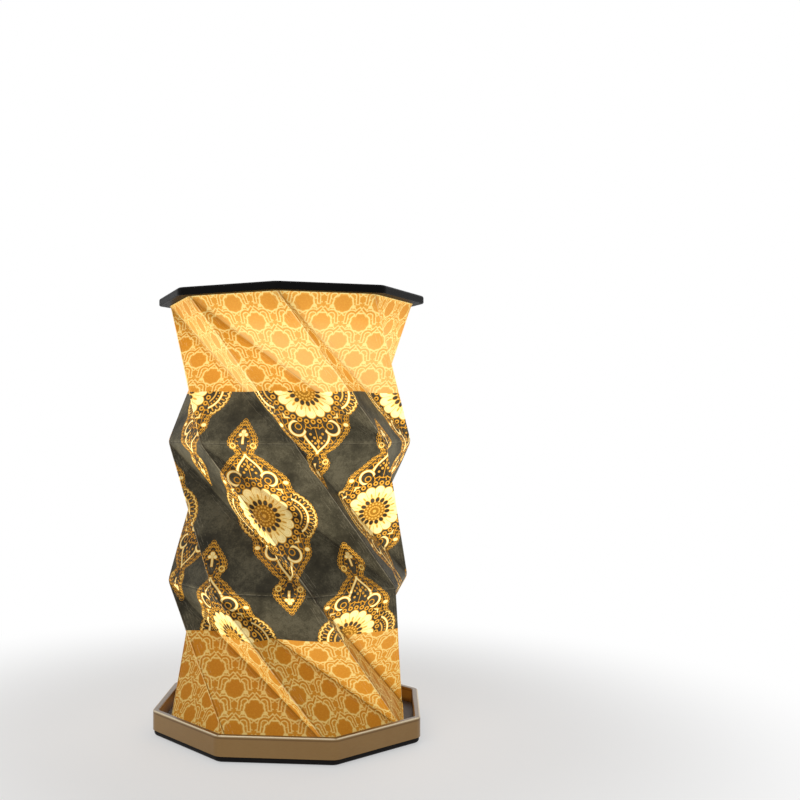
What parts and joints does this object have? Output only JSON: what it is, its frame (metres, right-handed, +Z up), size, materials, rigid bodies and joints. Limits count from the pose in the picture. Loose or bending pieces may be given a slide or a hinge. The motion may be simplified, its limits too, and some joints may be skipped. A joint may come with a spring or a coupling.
{
  "type": "folding pleated paper table lamp",
  "caption": "Folding table lamp: a shade of twisted paper pleats between an octagonal tray base and a thin octagonal lid that holds the light, battery, push button and charging socket.",
  "frame": {"origin": "on the table under the lamp's vertical axis, at the feet's underside", "axes": "+Z up the lamp's axis; -Y is the front; the base's flats face X and Y and the lid's corners lie on X and Y"},
  "size_m": [0.1326, 0.1326, 0.2138],
  "materials": {
    "gold_anodised": "satin",
    "black_cover": "matte",
    "black_floor": "matte",
    "ballast_steel": "satin",
    "screw_steel": "satin",
    "foot_rubber": "matte",
    "printed_paper": "matte",
    "black_lid": "satin",
    "bronze": "satin",
    "pin_dark": "satin",
    "white_housing": "matte",
    "diffuser": "satin",
    "green_board": "satin",
    "white_board": "satin",
    "led_yellow": "gloss",
    "cell_foil": "satin",
    "tape_white": "matte",
    "switch_black": "satin",
    "socket_steel": "satin",
    "lead_orange": "satin",
    "connector_white": "matte"
  },
  "bodies": {
    "base": {"base_frame": "gold_anodised", "tray_floor": "black_floor", "bottom_cover": "black_cover", "ballast_plate": "ballast_steel", "cover_screws": "screw_steel", "rubber_feet": "foot_rubber"},
    "shade": {"paper_shade": "printed_paper"},
    "lid": {"lid_shell": "black_lid", "lid_panel": "black_lid", "lid_screws": "screw_steel", "badge_plate": "bronze", "badge_pins": "pin_dark", "light_housing": "white_housing", "light_diffuser": "diffuser", "control_board": "green_board", "led_board": "white_board", "led_chips": "led_yellow", "battery_cell": "cell_foil", "battery_tape": "tape_white", "tact_switch": "switch_black", "usb_socket": "socket_steel", "charge_board": "green_board", "flat_lead": "lead_orange", "lead_connector": "connector_white"},
    "button": {"power_button": "bronze", "switch_plunger": "switch_black"}
  },
  "joints": [
    {"name": "fold_twist", "type": "hinge", "parent": "base", "child": "shade", "pos_m": [0, 0, 0], "axis": [0, 0, -1], "range_deg": [0, 112.5]},
    {"name": "fold_drop", "type": "slide", "parent": "shade", "child": "lid", "axis": [0, 0, -1], "range_m": [0, 0.1966], "deforming": ["paper_shade"]},
    {"name": "button_press", "type": "slide", "parent": "lid", "child": "button", "axis": [0, 0, -1], "range_m": [0, 0.0005], "stiffness_N_per_m": 1000, "springref_m": -0.0005}
  ],
  "couplings": [
    {"joint": "fold_twist", "follows": "fold_drop", "rad_per_m": 9.987}
  ]
}
